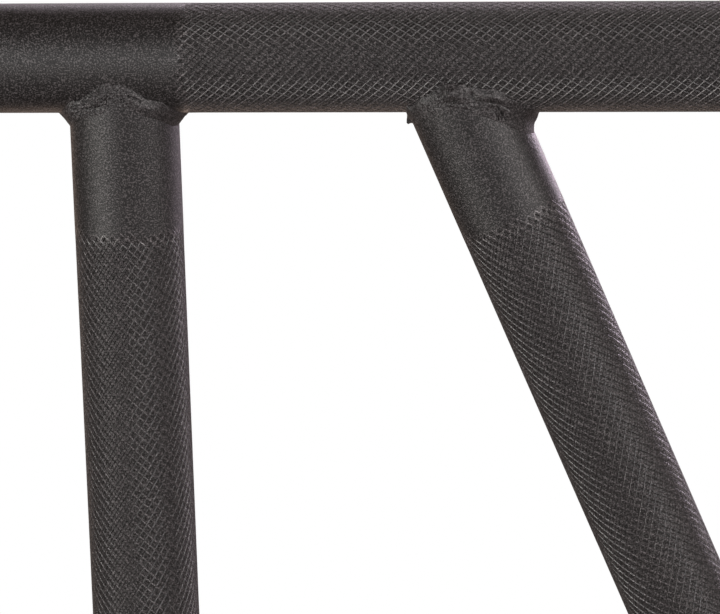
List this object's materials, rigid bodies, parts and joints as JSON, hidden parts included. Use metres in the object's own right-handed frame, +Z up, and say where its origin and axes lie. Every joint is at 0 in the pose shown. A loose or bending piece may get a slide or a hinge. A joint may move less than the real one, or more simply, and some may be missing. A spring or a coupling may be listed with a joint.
{
  "type": "multi-grip kip bar",
  "caption": "Height-adjustable kip bar: two round rails joined by straight and angled knurled handles, carried on side arms with saddles and spring pull pins that lock on rack uprights.",
  "frame": {"origin": "midway between the centres of the two rack uprights it hangs on, at the height of the side arms and of the grips", "axes": "+X along the rails, -Y towards the person hanging from the bar, +Z up"},
  "size_m": [1.401, 0.4635, 0.19],
  "materials": {
    "black_textured_coat": "fine-grained matt black powder coat over knurled or plain steel",
    "zinc_steel": "zinc-plated fasteners and pegs",
    "chromed_steel": "hard-chromed pull-pin plunger",
    "spring_steel": "oiled spring wire",
    "black_plastic": "moulded black plastic",
    "liner_plastic": "waxy dark UHMW sheet"
  },
  "bodies": {
    "frame": {"arm_cap_left": "black_plastic", "arm_cap_right": "black_plastic", "end_plate_left": "black_textured_coat", "end_plate_right": "black_textured_coat", "flange_bolt_left_front": "zinc_steel", "flange_bolt_left_rear": "zinc_steel", "flange_bolt_right_front": "zinc_steel", "flange_bolt_right_rear": "zinc_steel", "flange_nut_left_front": "zinc_steel", "flange_nut_left_rear": "zinc_steel", "flange_nut_right_front": "zinc_steel", "flange_nut_right_rear": "zinc_steel", "front_rail": "black_textured_coat", "gusset_left_inboard": "black_textured_coat", "gusset_left_outboard": "black_textured_coat", "gusset_right_inboard": "black_textured_coat", "gusset_right_outboard": "black_textured_coat", "inner_handle_left": "black_textured_coat", "inner_handle_right": "black_textured_coat", "liner_inboard_left": "liner_plastic", "liner_inboard_right": "liner_plastic", "liner_outboard_left": "liner_plastic", "liner_outboard_right": "liner_plastic", "liner_web_left": "liner_plastic", "liner_web_right": "liner_plastic", "outer_handle_left": "black_textured_coat", "outer_handle_right": "black_textured_coat", "peg_left_lower": "zinc_steel", "peg_left_upper": "zinc_steel", "peg_right_lower": "zinc_steel", "peg_right_upper": "zinc_steel", "pin_barrel_left": "black_textured_coat", "pin_barrel_right": "black_textured_coat", "pin_spring_left": "spring_steel", "pin_spring_right": "spring_steel", "rear_rail": "black_textured_coat", "saddle_left": "black_textured_coat", "saddle_right": "black_textured_coat", "side_arm_left": "black_textured_coat", "side_arm_right": "black_textured_coat", "weld_inner_left_front": "black_textured_coat", "weld_inner_left_rear": "black_textured_coat", "weld_inner_right_front": "black_textured_coat", "weld_inner_right_rear": "black_textured_coat", "weld_outer_left_front": "black_textured_coat", "weld_outer_left_rear": "black_textured_coat", "weld_outer_right_front": "black_textured_coat", "weld_outer_right_rear": "black_textured_coat", "weld_rail_left_front": "black_textured_coat", "weld_rail_left_rear": "black_textured_coat", "weld_rail_right_front": "black_textured_coat", "weld_rail_right_rear": "black_textured_coat"},
    "pull_pin_left": {"pin_plunger_left": "chromed_steel", "pin_knob_left": "black_plastic"},
    "pull_pin_right": {"pin_plunger_right": "chromed_steel", "pin_knob_right": "black_plastic"}
  },
  "joints": [
    {"name": "pull_pin_left_slide", "type": "slide", "parent": "frame", "child": "pull_pin_left", "axis": [-1, 0, 0], "range_m": [0, 0.0145], "stiffness_N_per_m": 1500, "springref_m": -0.01, "deforming": ["pin_spring_left"]},
    {"name": "pull_pin_right_slide", "type": "slide", "parent": "frame", "child": "pull_pin_right", "axis": [1, 0, 0], "range_m": [0, 0.0145], "stiffness_N_per_m": 1500, "springref_m": -0.01, "deforming": ["pin_spring_right"]}
  ]
}
